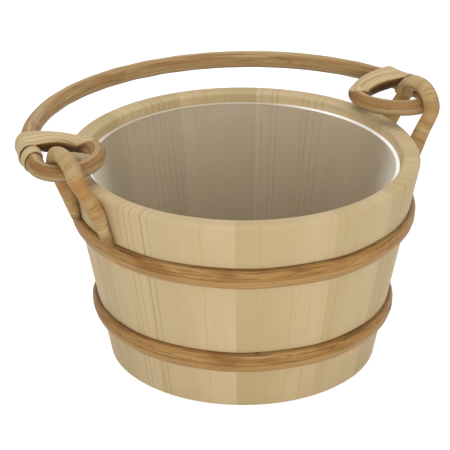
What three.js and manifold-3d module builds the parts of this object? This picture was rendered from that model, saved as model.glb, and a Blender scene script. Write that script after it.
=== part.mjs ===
// A coopered sauna bucket: twelve tapered staves in two split-rattan hoops, a rebated base of
// three boards, a loose plastic liner, and a rattan bail whose eyes hang in two rattan ears.
// Millimetres, +Z up. Heights are taken from the floor, and the bucket is then lowered so that
// the origin is the middle of the base's underside. The ears stand on the X axis.
import * as THREE from "three";
import { mergeVertices } from "three/addons/utils/BufferGeometryUtils.js";
import Module from "manifold-3d";

// Fits between pieces
const seatGap = 0.3; // pieces that rest against each other
const drillGap = 0.3; // round a nail or a screw, on the radius
const staveGap = 0.3; // between two staves

// Staves
const bucketHeight = 156.8;
const rimRadius = 130; // outside
const wallSlope = 0.1982; // radius gained for each unit of height
const wallThickness = 13.5; // measured level
const rimRounding = 3;
const chimeBevel = 1.5;
const staveShares = [28, 30, 30, 30, 30, 30, 33, 33, 24, 31, 31, 31]; // widths, in parts of their sum
const firstStaveAngle = 31; // degrees from +X to the first joint
const staveFacets = 5;
const roundingFacets = 3;

// Base boards
const baseLift = 8; // from the floor to the base's underside
const baseThickness = 12;
const baseRebate = 4; // height of the step under the base's edge
const rebateMargin = 0.8; // from the flat underside to the narrow end of the bore
const crozeDepth = 4;
const baseBoardNames = ["base_board_left", "base_board_middle", "base_board_right"];
const tongueLength = 3;
const tongueThickness = 4;
const baseFacets = 60;

// Liner
const linerWall = 2;
const linerGap = 0.5; // to the staves
const linerBelowRim = 7;
const lipWidth = 3;
const lipHeight = 3.5;
const lipEase = 0.75; // bevel on the lip's edges
const linerCorner = 6;
const linerFacets = 60;

// Hoops
const hoopWidth = 17; // along the wall
const hoopThickness = 5.15;
const upperHoopHeight = 114.1; // floor to the hoop's middle
const lowerHoopHeight = 40.8;
const hoopFacets = 60;
const hoopSectionPoints = 7;
const upperScarfAngle = 76; // degrees, middle of the scarf joint
const lowerScarfAngle = 45;
const scarfLength = 56;
const scarfFacets = 8;
const scarfTip = 0.9; // least thickness at the scarf's ends
const scarfEdge = 0.22; // thickness along the edges of the outer end

// Nails in the scarf joints
const nailRadius = 0.9;
const nailPoint = 1.8;
const nailHeadRadius = 2.2;
const nailHeadFlat = 1.1; // radius of the flat on the head
const nailHeadHeight = 1;
const nailHeadEdge = 0.5;
const nailDepth = 9; // in the stave
const nailSpacing = 22; // along the hoop
const fastenerFacets = 10;

// Bail rod and its eyes
const bailAboveRim = 13.2; // rim to the middle of the rod
const bowReach = 151.7; // bucket axis to the middle of the bow
const rodRadius = 6.4;
const eyeRodRadius = 5.9;
const eyeLongHalf = 27.8;
const eyeShortHalf = 21.3;
const eyeTurn = -44; // degrees from +X to the eye's long axis
const eyeOutsideRim = 3.6; // rim to the eye's middle
const hingeOffset = 8; // eye's front rod in front of the X axis
const bailShift = 1.5; // bail's place to the right, within its play in the ears
const bowStations = 28;
const eyeStations = 24;
const thinningStations = 6; // from the bow's rod to the eye's
const tailStart = -184; // degrees round the eye where the tail leaves it
const flatteningStart = -140; // degrees round the eye where the rod starts to flatten
const tailFlatness = 0.25; // share of the flattening done where the tail leaves the eye
const rodSides = 10;

// Flattened tail, wound round the neck of the eye
const ribbonWidth = 24;
const ribbonEndWidth = 8.5;
const ribbonThickness = 2.2;
const ribbonEndThickness = 1.4;
const ribbonGap = 0.5; // to the rod it is wound on
const roundSection = 2; // power of a super-ellipse that is round
const ribbonSquareness = 4;
const undersideLag = 5; // power by which the tail's underside thins later than its top
const windStart = 44; // place of the first crossing, behind the X axis
const windPitch = 17.5; // along the rod, for one turn
const windTurns = 1.42;
const narrowingTurns = 0.9; // in which the ribbon narrows to its end width
const windStationsPerTurn = 20;
const crossingEase = 14.7; // length of the crossing's bends
const crossingFlatBy = 0.8; // share of the crossing in which the flattening ends
const crossingStations = 8;
const leastGapAllowed = 0.4;

// Ears: half sizes across the ear and off the wall, at a leg's foot, at its kink and in the bight
const earFootHalf = 4.6;
const earFootDepth = 3.4;
const earKinkHalf = 7.3;
const earKinkDepth = 5.8;
const earInnerHalf = 3.8; // flattened inside of the bight
const earOuterHalf = 7.6;
const earBightDepth = 5.3;
const earFootSpread = 26; // half the distance between the feet
const earKinkSpread = 22.5; // the same at the kink
const earKinkBelowRim = 11;
const leftEarTurn = 4; // degrees from the X axis to the ear's middle, forward
const rightEarTurn = 0.3;
const leftEarLean = 0.47; // outward lean over height, from the kink to the eye's rod
const rightEarLean = 0.57;
const earBightLean = 0.04; // the same above the eye's rod
const earPlay = 2.7; // eye's rod to the crown of the bight
const earShoulderPlay = 8.8; // eye's rod to the legs
const earHaunch = 45; // degrees round the bight
const earStations = 36;
const earSides = 10;

// Screws that hold the ears' legs, from inside
const screwBelowKink = 6;
const screwRadius = 1.8;
const screwHeadRadius = 3.6;
const screwHeadHeight = 2.6;
const screwGrip = 6; // in the leg
const screwPoint = 3;

const degree = Math.PI / 180;
const quarterTurn = Math.PI / 2;
const fullTurn = 2 * Math.PI;
const { clamp, inverseLerp, lerp, smoothstep } = THREE.MathUtils;

const softwood = new THREE.MeshStandardMaterial({ color: "#d9bf8e", roughness: 0.65, metalness: 0 });
const brownRattan = new THREE.MeshStandardMaterial({ color: "#a8753f", roughness: 0.5, metalness: 0 });
const paleRattan = new THREE.MeshStandardMaterial({ color: "#cda970", roughness: 0.55, metalness: 0 });
const linerPlastic = new THREE.MeshStandardMaterial({ color: "#b9b1a4", roughness: 0.25, metalness: 0 });
const steel = new THREE.MeshStandardMaterial({ color: "#9a9a96", roughness: 0.4, metalness: 1 });

const wasm = await Module();
wasm.setup();

// The finished bucket, lowered from the floor to its own frame
const bucket = new THREE.Group();
bucket.position.z = -baseLift;

function addPiece(name, geometry, material) {
  const mesh = new THREE.Mesh(geometry, material);
  mesh.name = name;
  bucket.add(mesh);
  return mesh;
}

// A closed body from points and triangles, turned so that its faces point out
function closedBody(points, faces) {
  let volume = 0;
  const cross = new THREE.Vector3();
  for (const [a, b, c] of faces) {
    volume += points[a].dot(cross.crossVectors(points[b], points[c]));
  }
  const outward = volume < 0 ? faces.map(([a, b, c]) => [a, c, b]) : faces;
  const geometry = new THREE.BufferGeometry().setFromPoints(points);
  geometry.setIndex(outward.flat());
  geometry.computeVertexNormals();
  return geometry;
}

// The triangles that close a convex ring
function fan(count) {
  return Array.from({ length: count - 2 }, (_, i) => [0, i + 1, i + 2]);
}

// A body through rings that all have the same number of points, closed at both ends
function loft(rings, cap = fan(rings[0].length)) {
  const count = rings[0].length;
  const last = (rings.length - 1) * count;
  const faces = [];
  for (let ring = 0; ring < rings.length - 1; ring++) {
    for (let i = 0; i < count; i++) {
      const near = ring * count + i;
      const nextNear = ring * count + ((i + 1) % count);
      faces.push([near, nextNear, nextNear + count], [near, nextNear + count, near + count]);
    }
  }
  for (const [a, b, c] of cap) {
    faces.push([a, c, b], [last + a, last + b, last + c]);
  }
  return closedBody(rings.flat(), faces);
}

// A profile of radius and height turned round the Z axis
function turned(outline, facets) {
  const profile = outline.map(([radius, height]) => new THREE.Vector2(radius, height));
  const lathe = new THREE.LatheGeometry(profile, facets).rotateX(quarterTurn);
  const merged = positionsOnly(lathe);
  const points = [];
  for (let i = 0; i < merged.attributes.position.count; i++) {
    points.push(new THREE.Vector3().fromBufferAttribute(merged.attributes.position, i));
  }
  const faces = [];
  for (let i = 0; i < merged.index.count; i += 3) {
    const face = [0, 1, 2].map((corner) => merged.index.getX(i + corner));
    if (new Set(face).size === face.length) faces.push(face);
  }
  return closedBody(points, faces);
}

function positionsOnly(geometry) {
  const bare = geometry.clone();
  bare.deleteAttribute("normal");
  bare.deleteAttribute("uv");
  return mergeVertices(bare);
}

function toSolid(geometry, place = new THREE.Matrix4()) {
  const merged = positionsOnly(geometry).applyMatrix4(place);
  const vertProperties = merged.attributes.position.array;
  const triVerts = new Uint32Array(merged.index.array);
  return new wasm.Manifold(new wasm.Mesh({ numProp: 3, vertProperties, triVerts }));
}

function toGeometry(solid) {
  const { vertProperties, triVerts } = solid.getMesh();
  const geometry = new THREE.BufferGeometry();
  geometry.setAttribute("position", new THREE.BufferAttribute(vertProperties, 3));
  geometry.setIndex(new THREE.BufferAttribute(triVerts, 1));
  geometry.computeVertexNormals();
  return geometry;
}

// Cuts every tool, a geometry with its place, out of a piece
function cut(geometry, tools) {
  const without = (body, tool) => body.subtract(toSolid(tool.geometry, tool.place));
  return toGeometry(tools.reduce(without, toSolid(geometry)));
}

// The tapered wall
const wallTilt = Math.atan(wallSlope);
const wallRadius = (height) => rimRadius - wallSlope * (bucketHeight - height);
const boreRadius = (height) => wallRadius(height) - wallThickness;

// Radius and height of a point that stands off the outer wall and lies along it from a height
function offWall(height, along, out) {
  const radius = wallRadius(height) + along * Math.sin(wallTilt) + out * Math.cos(wallTilt);
  return new THREE.Vector2(radius, height + along * Math.cos(wallTilt) - out * Math.sin(wallTilt));
}

function aroundAxis({ x: radius, y: height }, angle) {
  return new THREE.Vector3(radius * Math.cos(angle), radius * Math.sin(angle), height);
}

function outOfWall(angle) {
  return aroundAxis(new THREE.Vector2(Math.cos(wallTilt), -Math.sin(wallTilt)), angle);
}

// A frame on the outer wall whose Z points out of the wall
function wallFrame(angle, height) {
  const out = outOfWall(angle);
  const along = aroundAxis(new THREE.Vector2(Math.sin(wallTilt), Math.cos(wallTilt)), angle);
  const side = new THREE.Vector3().crossVectors(along, out);
  const origin = aroundAxis(offWall(height, 0, 0), angle);
  return new THREE.Matrix4().makeBasis(side, along, out).setPosition(origin);
}

function movedOut(frame, distance) {
  return frame.clone().multiply(new THREE.Matrix4().makeTranslation(0, 0, distance));
}

// A straight hole along the Z axis
function bore(radius, from, to) {
  return turned([[0, from], [radius, from], [radius, to], [0, to]], fastenerFacets);
}

// Base: the step under its edge sits on the lower face of the croze
const baseTop = baseLift + baseThickness;
const crozeLower = baseLift + baseRebate;
const flatBaseRadius = boreRadius(0) - rebateMargin;
const baseEdgeRadius = (height) => boreRadius(height) + crozeDepth - seatGap;

function baseDisc() {
  const profile = [
    [0, baseLift],
    [flatBaseRadius, baseLift],
    [boreRadius(crozeLower) - seatGap - rebateMargin, crozeLower + seatGap],
    [baseEdgeRadius(crozeLower), crozeLower + seatGap],
    [baseEdgeRadius(baseTop), baseTop],
    [0, baseTop],
  ];
  return turned(profile, baseFacets);
}

// The edge between two boards, bottom to top, with its tongue
function boardEdge(place, offset) {
  const tongueMiddle = baseLift + baseThickness / 2;
  const tongueHalf = tongueThickness / 2 + offset;
  const root = place + offset;
  const end = root + tongueLength;
  const over = seatGap;
  return [
    [root, baseLift - over],
    [root, tongueMiddle - tongueHalf],
    [end, tongueMiddle - tongueHalf],
    [end, tongueMiddle + tongueHalf],
    [root, tongueMiddle + tongueHalf],
    [root, baseTop + over],
  ];
}

function addBaseBoards() {
  const disc = toSolid(baseDisc());
  const reach = 2 * baseEdgeRadius(baseTop);
  const boardWidth = reach / baseBoardNames.length;
  const firstEdge = -reach / 2;
  const half = seatGap / 2;
  baseBoardNames.forEach((name, i) => {
    const left = i === 0 ? -reach : firstEdge + i * boardWidth;
    const right = i === baseBoardNames.length - 1 ? reach : firstEdge + (i + 1) * boardWidth;
    const outline = [...boardEdge(right, -half), ...boardEdge(left, half).reverse()];
    const shape = new THREE.Shape(outline.map(([x, y]) => new THREE.Vector2(x, y)));
    const plank = new THREE.ExtrudeGeometry(shape, { depth: 2 * reach, bevelEnabled: false });
    plank.rotateX(quarterTurn).translate(0, reach, 0);
    addPiece(name, toGeometry(disc.intersect(toSolid(plank))), softwood);
  });
}

// A quarter of a circle, from an angle on, as points of radius and height
function quarterArc(centreRadius, centreHeight, size, from) {
  return Array.from({ length: roundingFacets + 1 }, (_, i) => {
    const angle = from + (quarterTurn * i) / roundingFacets;
    return [centreRadius + size * Math.cos(angle), centreHeight + size * Math.sin(angle)];
  });
}

// Staves
function staveProfile() {
  const shoulder = bucketHeight - rimRounding;
  const crozeUpper = baseTop + seatGap;
  const outline = [
    [boreRadius(0) + chimeBevel, 0],
    [wallRadius(0) - chimeBevel, 0],
    [wallRadius(chimeBevel), chimeBevel],
    ...quarterArc(wallRadius(shoulder) - rimRounding, shoulder, rimRounding, 0),
    ...quarterArc(boreRadius(shoulder) + rimRounding, shoulder, rimRounding, quarterTurn),
    [boreRadius(crozeUpper), crozeUpper],
    [boreRadius(crozeUpper) + crozeDepth, crozeUpper],
    [boreRadius(crozeLower) + crozeDepth, crozeLower],
    [boreRadius(crozeLower), crozeLower],
    [boreRadius(chimeBevel), chimeBevel],
  ];
  return outline.map(([x, y]) => new THREE.Vector2(x, y));
}

// A sector of a turned profile whose two ends stand half a gap off their radial planes
function turnedSector(profile, from, to, facets, gap) {
  const rings = [];
  for (let i = 0; i <= facets; i++) {
    const ring = profile.map((point) => {
      const inset = Math.asin(gap / 2 / point.x);
      return aroundAxis(point, lerp(from + inset, to - inset, i / facets));
    });
    rings.push(ring);
  }
  return loft(rings, THREE.ShapeUtils.triangulateShape(profile, []));
}

function staveSectors() {
  const whole = staveShares.reduce((sum, share) => sum + share);
  let from = firstStaveAngle * degree;
  return staveShares.map((share) => {
    const sector = { from, to: from + (share / whole) * fullTurn };
    from = sector.to;
    return sector;
  });
}

function addStaves(holes) {
  const profile = staveProfile();
  staveSectors().forEach(({ from, to }, i) => {
    const blank = turnedSector(profile, from, to, staveFacets, staveGap);
    const own = holes.filter((hole) => {
      const turn = THREE.MathUtils.euclideanModulo(hole.angle - from, fullTurn);
      return turn < to - from;
    });
    const name = "stave_" + String(i + 1).padStart(2, "0");
    addPiece(name, own.length ? cut(blank, own) : blank, softwood);
  });
}

// Liner: stands on the base, with a thicker lip below the rim
const lipTop = bucketHeight - linerBelowRim;
const linerOuter = (height) => boreRadius(height) - linerGap;

function addLiner() {
  const floor = baseTop + seatGap;
  const lipBottom = lipTop - lipHeight;
  const cornerHeight = floor + linerCorner;
  const cornerRadius = linerOuter(cornerHeight) - linerCorner;
  const inside = [
    [0, floor + linerWall],
    ...quarterArc(cornerRadius, cornerHeight, linerCorner - linerWall, -quarterTurn),
    [linerOuter(lipBottom - lipEase) - linerWall, lipBottom - lipEase],
    [linerOuter(lipBottom) - lipWidth, lipBottom],
    [linerOuter(lipTop) - lipWidth, lipTop - lipEase],
    [linerOuter(lipTop) - lipWidth + lipEase, lipTop],
  ];
  const outline = [
    [0, floor],
    ...quarterArc(cornerRadius, cornerHeight, linerCorner, -quarterTurn),
    [linerOuter(lipTop - lipEase), lipTop - lipEase],
    [linerOuter(lipTop) - lipEase, lipTop],
    ...inside.reverse(),
  ];
  addPiece("liner", turned(outline, linerFacets), linerPlastic);
}

// Hoops: half-oval strips whose ends overlap in a scarf joint. The inner end thins from outside
// and the outer end thins from inside, so that the joint keeps the hoop's outline.
const hoopHalf = hoopWidth / 2;
const hoopCrown = (along) => hoopThickness * Math.sqrt(Math.max(0, 1 - (along / hoopHalf) ** 2));

// Rounded side of the strip up along the wall, then its back the other way
function hoopSection(height, halfWidth, crown, back) {
  const places = Array.from({ length: hoopSectionPoints }, (_, i) => {
    return halfWidth * Math.sin(lerp(-quarterTurn, quarterTurn, i / (hoopSectionPoints - 1)));
  });
  const front = places.map((along) => offWall(height, along, seatGap + crown(along)));
  const rear = places.slice(1, -1).map((along) => offWall(height, along, seatGap + back(along)));
  return [...front, ...rear.reverse()];
}

function hoopStrip(height, scarfAngle) {
  const scarfTurn = scarfLength / wallRadius(height);
  const start = scarfAngle * degree - scarfTurn / 2;
  const tipShare = scarfTip / hoopThickness;
  const stepTurn = seatGap / wallRadius(height);
  const flat = () => 0;
  const stations = [];
  const innerShare = (part) => lerp(tipShare, 1, part);
  for (let i = 0; i < scarfFacets; i++) {
    const share = innerShare(i / scarfFacets);
    const section = hoopSection(height, hoopHalf, (along) => share * hoopCrown(along), flat);
    stations.push({ turn: start + (i / scarfFacets) * scarfTurn, section });
  }
  const full = hoopSection(height, hoopHalf, hoopCrown, flat);
  const from = start + scarfTurn;
  const to = start + fullTurn - 2 * stepTurn;
  for (let i = 0; i <= hoopFacets; i++) {
    stations.push({ turn: lerp(from, to, i / hoopFacets), section: full });
  }
  const lastPart = 1 - (scarfTip + seatGap) / (hoopThickness - scarfTip);
  for (let i = 0; i <= scarfFacets; i++) {
    const part = (i / scarfFacets) * lastPart;
    const share = innerShare(part);
    const edgeShare = (seatGap + scarfEdge) / (hoopThickness * (1 - share));
    const halfWidth = hoopHalf * Math.sqrt(1 - edgeShare ** 2);
    const back = (along) => share * hoopCrown(along) + seatGap;
    const section = hoopSection(height, halfWidth, hoopCrown, back);
    const lead = i === 0 ? stepTurn : 0;
    stations.push({ turn: start + fullTurn + part * scarfTurn - lead, section });
  }
  return stations.map(({ turn, section }) => section.map((point) => aroundAxis(point, turn)));
}

function hoopCap() {
  const count = 2 * hoopSectionPoints - 2;
  const faces = [];
  for (let i = 0; i < hoopSectionPoints - 1; i++) {
    const rear = (count - i) % count;
    const nextRear = count - i - 1;
    if (i > 0) faces.push([i, i + 1, rear]);
    if (i < hoopSectionPoints - 2) faces.push([rear, i + 1, nextRear]);
  }
  return faces;
}

function nailGeometry() {
  const length = hoopThickness + 2 * seatGap + nailDepth;
  const profile = [
    [0, -length],
    [nailRadius, nailPoint - length],
    [nailRadius, 0],
    [nailHeadRadius, 0],
    [nailHeadRadius, nailHeadEdge],
    [nailHeadFlat, nailHeadHeight],
    [0, nailHeadHeight],
  ];
  return turned(profile, fastenerFacets);
}

// Adds a hoop and its nails, and returns the nails' holes in the staves
function addHoop(name, height, scarfAngle) {
  const nail = nailGeometry();
  const headSeat = hoopThickness + 2 * seatGap;
  const hole = bore(nailRadius + drillGap, -nailDepth - drillGap, headSeat + nailHeadHeight);
  const holes = [-1, 1].map((side, i) => {
    const angle = scarfAngle * degree + (side * nailSpacing) / 2 / wallRadius(height);
    const place = wallFrame(angle, height);
    const mesh = addPiece(name + "_nail_" + (i + 1), nail, steel);
    mesh.applyMatrix4(movedOut(place, headSeat));
    return { angle, geometry: hole, place };
  });
  const strip = loft(hoopStrip(height, scarfAngle), hoopCap());
  addPiece(name, cut(strip, holes), brownRattan);
  return holes;
}

// A ring of a bent rod: a super-ellipse across the path, with its own half sizes
function rodRing({ centre, tangent, normal, side, out, inner, squareness }, sides) {
  const across = new THREE.Vector3().crossVectors(tangent, normal).normalize();
  const up = new THREE.Vector3().crossVectors(across, tangent).normalize();
  const power = roundSection / squareness;
  return Array.from({ length: sides }, (_, i) => {
    const angle = (fullTurn * (i + 0.5)) / sides;
    const x = Math.sign(Math.cos(angle)) * Math.abs(Math.cos(angle)) ** power;
    const y = Math.sign(Math.sin(angle)) * Math.abs(Math.sin(angle)) ** power;
    const rise = y > 0 ? out * y : inner * y;
    return centre.clone().addScaledVector(across, side * x).addScaledVector(up, rise);
  });
}

function withTangents(stations) {
  return stations.map((station, i) => {
    const before = stations[Math.max(i - 1, 0)].centre;
    const after = stations[Math.min(i + 1, stations.length - 1)].centre;
    return { ...station, tangent: new THREE.Vector3().subVectors(after, before).normalize() };
  });
}

const mirrored = (vector) => new THREE.Vector3(-vector.x, vector.y, vector.z);

// Bail, in the folded-back place: a level bow, whose ends run on into the eyes
const bailHeight = bucketHeight + bailAboveRim;
const eyeLongAxis = new THREE.Vector3(Math.cos(eyeTurn * degree), Math.sin(eyeTurn * degree), 0);
const eyeShortAxis = new THREE.Vector3(-eyeLongAxis.y, eyeLongAxis.x, 0);
const eyeHalfX = Math.hypot(eyeLongHalf * eyeLongAxis.x, eyeShortHalf * eyeShortAxis.x);
const eyeHalfY = Math.hypot(eyeLongHalf * eyeLongAxis.y, eyeShortHalf * eyeShortAxis.y);
const eyeMiddle = new THREE.Vector3(rimRadius + eyeOutsideRim, eyeHalfY - hingeOffset, bailHeight);
const bowHalfWidth = eyeMiddle.x + eyeHalfX;
const zUp = new THREE.Vector3(0, 0, 1);

function eyePoint(turn) {
  return eyeMiddle.clone()
    .addScaledVector(eyeLongAxis, eyeLongHalf * Math.cos(turn))
    .addScaledVector(eyeShortAxis, eyeShortHalf * Math.sin(turn));
}

function bowPoint(forward) {
  const share = forward / bowReach;
  return new THREE.Vector3(bowHalfWidth * Math.sqrt(1 - share ** 2), forward, bailHeight);
}

function roundRod(radius) {
  return { side: radius, out: radius, inner: radius, squareness: roundSection };
}

// Flattened section between the round rod of the eye and the ribbon, for a part from 0 to 1
function flattened(part) {
  return {
    side: lerp(eyeRodRadius, ribbonWidth / 2, part),
    out: lerp(eyeRodRadius, ribbonThickness / 2, part),
    inner: lerp(eyeRodRadius, ribbonThickness / 2, part ** undersideLag),
    squareness: lerp(roundSection, ribbonSquareness, part),
  };
}

const windRadius = (half) => rodRadius + ribbonGap + half;

// Stations of the bail's right half: half the bow, down to where it runs into the eye
const eyeJoinTurn = Math.atan2(eyeShortHalf * eyeShortAxis.x, eyeLongHalf * eyeLongAxis.x);
const eyeTailTurn = tailStart * degree;

function halfBow() {
  const joinAngle = Math.asin(eyePoint(eyeJoinTurn).y / bowReach);
  return Array.from({ length: bowStations }, (_, i) => {
    const forward = bowReach * Math.sin(lerp(quarterTurn, joinAngle, i / bowStations));
    return { centre: bowPoint(forward), normal: zUp, ...roundRod(rodRadius) };
  });
}

// The eye, whose rod thins, and starts to flatten before its tail leaves it
function eyeRing() {
  return Array.from({ length: eyeStations }, (_, i) => {
    const turn = lerp(eyeJoinTurn, eyeTailTurn, i / eyeStations);
    const thinned = lerp(rodRadius, eyeRodRadius, smoothstep(i, 0, thinningStations));
    const begun = smoothstep(-turn, -flatteningStart * degree, -eyeTailTurn);
    const section = begun > 0 ? flattened(tailFlatness * begun ** 2) : roundRod(thinned);
    return { centre: eyePoint(turn), normal: zUp, ...section };
  });
}

// The tail's way from the eye over the bow's end
function tailCrossing() {
  const from = eyePoint(eyeTailTurn);
  const to = bowPoint(windStart).setZ(bailHeight + windRadius(ribbonThickness / 2));
  const leaving = new THREE.Vector3()
    .addScaledVector(eyeLongAxis, eyeLongHalf * Math.sin(eyeTailTurn))
    .addScaledVector(eyeShortAxis, -eyeShortHalf * Math.cos(eyeTailTurn))
    .setLength(crossingEase);
  const fromEase = from.clone().add(leaving).setZ(bailHeight + ribbonThickness);
  const toEase = to.clone().setX(to.x - crossingEase);
  const path = new THREE.CubicBezierCurve3(from, fromEase, toEase, to);
  return Array.from({ length: crossingStations }, (_, i) => {
    const part = i / crossingStations;
    const flatness = lerp(tailFlatness, 1, smoothstep(part, 0, crossingFlatBy));
    return { centre: path.getPoint(part), normal: zUp, ...flattened(flatness) };
  });
}

// The tail's turns round the bow's end, narrowing and thinning to its tip
function tailWinding() {
  const count = Math.round(windTurns * windStationsPerTurn);
  return Array.from({ length: count + 1 }, (_, i) => {
    const turns = (windTurns * i) / count;
    const core = bowPoint(windStart - windPitch * turns);
    const outward = new THREE.Vector3(core.x / bowHalfWidth ** 2, core.y / bowReach ** 2, 0).normalize();
    const radial = new THREE.Vector3()
      .addScaledVector(zUp, Math.cos(fullTurn * turns))
      .addScaledVector(outward, Math.sin(fullTurn * turns));
    const half = lerp(ribbonThickness, ribbonEndThickness, turns / windTurns) / 2;
    const side = lerp(ribbonWidth, ribbonEndWidth, smoothstep(turns, 0, narrowingTurns)) / 2;
    const centre = core.addScaledVector(radial, windRadius(half));
    return { centre, normal: radial, side, out: half, inner: half, squareness: ribbonSquareness };
  });
}

// Least distance between points of the wound rod that are well apart along it
function leastGapToItself(stations, rings) {
  const along = [0];
  for (let i = 1; i < stations.length; i++) {
    along.push(along[i - 1] + stations[i].centre.distanceTo(stations[i - 1].centre));
  }
  const apart = Math.PI * rodRadius;
  let least = Infinity;
  for (let a = 0; a < rings.length; a++) {
    for (let b = a + 1; b < rings.length; b++) {
      if (along[b] - along[a] < apart) continue;
      if (stations[a].centre.distanceTo(stations[b].centre) > ribbonWidth + rodRadius) continue;
      for (const p of rings[a]) {
        for (const q of rings[b]) least = Math.min(least, p.distanceTo(q));
      }
    }
  }
  return least;
}

function addBail() {
  const right = [...halfBow(), ...eyeRing(), ...tailCrossing(), ...tailWinding()];
  const left = right.slice(1).reverse().map((station) => ({
    ...station,
    centre: mirrored(station.centre),
    normal: mirrored(station.normal),
  }));
  const stations = withTangents([...left, ...right]);
  const rings = stations.map((station) => rodRing(station, rodSides));
  const least = leastGapToItself(stations, rings).toFixed(2);
  console.log(`bail: least gap to itself ${least} mm, over ${leastGapAllowed} mm wanted`);
  addPiece("bail", loft(rings).translate(bailShift, 0, 0), brownRattan);
}

// Ears: an inverted U whose legs lie on the wall above the upper hoop, and whose bight leans
// out and goes over the eye's front rod
const earKinkHeight = bucketHeight - earKinkBelowRim;
const earFootHeight = offWall(upperHoopHeight, hoopHalf + seatGap, 0).y;
const legShare = (height) => clamp(inverseLerp(earFootHeight, earKinkHeight, height), 0, 1);
const legDepth = (height) => lerp(earFootDepth, earKinkDepth, legShare(height));

// A point of a leg's middle line, for a leg that lies on the wall
function onWall(height) {
  const spread = lerp(earFootSpread, earKinkSpread, legShare(height));
  const radius = wallRadius(height) + (legDepth(height) + seatGap) / Math.cos(wallTilt);
  return new THREE.Vector3(Math.sqrt(radius ** 2 - spread ** 2), spread, height);
}

function earPath({ turn, lean }) {
  const kink = onWall(earKinkHeight);
  const leaning = (spread, height) => {
    const legOut = lean * (Math.min(height, bailHeight) - earKinkHeight);
    const bightOut = earBightLean * Math.max(height - bailHeight, 0);
    return new THREE.Vector3(kink.x + legOut + bightOut, spread, height);
  };
  const shoulderSpread = eyeRodRadius + earInnerHalf + earShoulderPlay;
  const crownHeight = bailHeight + eyeRodRadius + earPlay + earInnerHalf;
  const crownRise = crownHeight - bailHeight;
  const haunch = earHaunch * degree;
  const half = [
    onWall(earFootHeight),
    onWall((earFootHeight + earKinkHeight) / 2),
    kink,
    leaning((earKinkSpread + shoulderSpread) / 2, (earKinkHeight + bailHeight) / 2),
    leaning(shoulderSpread, bailHeight),
    leaning(shoulderSpread * Math.cos(haunch), bailHeight + crownRise * Math.sin(haunch)),
  ];
  const frontHalf = half.map((point) => new THREE.Vector3(point.x, -point.y, point.z));
  const points = [...frontHalf, leaning(0, crownHeight), ...half.reverse()];
  const inPlace = points.map((point) => point.applyAxisAngle(zUp, turn));
  return new THREE.CatmullRomCurve3(inPlace, false, "centripetal");
}

// A leg's section grows from its foot to its kink, and is flattened inside the bight
function earSection({ centre, tangent }, { turn, lean }) {
  const bight = smoothstep(centre.z, earKinkHeight, bailHeight);
  const legHalf = lerp(earFootHalf, earKinkHalf, legShare(centre.z));
  const leanOut = new THREE.Vector3(1, 0, -lean).normalize().applyAxisAngle(zUp, turn);
  const outward = outOfWall(Math.atan2(centre.y, centre.x)).lerp(leanOut, bight);
  return {
    normal: new THREE.Vector3().crossVectors(outward, tangent),
    side: lerp(legDepth(centre.z), earBightDepth, bight),
    out: lerp(legHalf, earOuterHalf, bight),
    inner: lerp(legHalf, earInnerHalf, bight),
    squareness: roundSection,
  };
}

function earGeometry(ear) {
  const stations = earPath(ear).getSpacedPoints(earStations).map((centre) => ({ centre }));
  const framed = withTangents(stations).map((station) => ({ ...station, ...earSection(station, ear) }));
  const rings = framed.map((station) => rodRing(station, earSides));
  levelEnd(rings[0], framed[0]);
  levelEnd(rings[earStations], framed[earStations]);
  return loft(ear.isLeft ? rings.map((ring) => ring.map(mirrored)) : rings);
}

// Cuts a leg's end level along the hoop by sliding the ring's points along the leg
function levelEnd(ring, { centre, tangent }) {
  for (const point of ring) {
    point.addScaledVector(tangent, (centre.z - point.z) / tangent.z);
  }
}

function screwGeometry(length) {
  const profile = [
    [0, 0],
    [screwHeadRadius, 0],
    [screwRadius, screwHeadHeight],
    [screwRadius, length - screwPoint],
    [0, length],
  ];
  return turned(profile, fastenerFacets);
}

function screwHole(length) {
  const profile = [
    [0, -screwHeadHeight],
    [screwHeadRadius + drillGap, -screwHeadHeight],
    [screwHeadRadius + drillGap, 0],
    [screwRadius + drillGap, screwHeadHeight],
    [screwRadius + drillGap, length + drillGap],
    [0, length + drillGap],
  ];
  return turned(profile, fastenerFacets);
}

// Adds both ears and their screws, and returns the screws' holes in the staves
function addEars() {
  const legPoint = onWall(earKinkHeight - screwBelowKink);
  const screwHeight = legPoint.z + (legDepth(legPoint.z) + seatGap) * Math.sin(wallTilt);
  const sunk = wallThickness * Math.cos(wallTilt) - seatGap;
  const length = sunk + seatGap + screwGrip;
  const screw = screwGeometry(length);
  const hole = screwHole(length);
  const spread = Math.atan2(legPoint.y, legPoint.x);
  const holes = [];
  const ears = [
    { name: "left_ear", isLeft: true, turn: -leftEarTurn * degree, lean: leftEarLean },
    { name: "right_ear", isLeft: false, turn: -rightEarTurn * degree, lean: rightEarLean },
  ];
  for (const ear of ears) {
    const own = ["front", "back"].map((leg) => {
      const swing = ear.turn + (leg === "front" ? -spread : spread);
      const angle = ear.isLeft ? Math.PI - swing : swing;
      const place = movedOut(wallFrame(angle, screwHeight), -sunk);
      addPiece(`${ear.name}_${leg}_screw`, screw, steel).applyMatrix4(place);
      return { angle, geometry: hole, place };
    });
    addPiece(ear.name, cut(earGeometry(ear), own), paleRattan);
    holes.push(...own);
  }
  return holes;
}

const holes = [
  ...addHoop("upper_hoop", upperHoopHeight, upperScarfAngle),
  ...addHoop("lower_hoop", lowerHoopHeight, lowerScarfAngle),
  ...addEars(),
];
addStaves(holes);
addBaseBoards();
addLiner();
addBail();

export default bucket;
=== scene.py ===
import math

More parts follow.
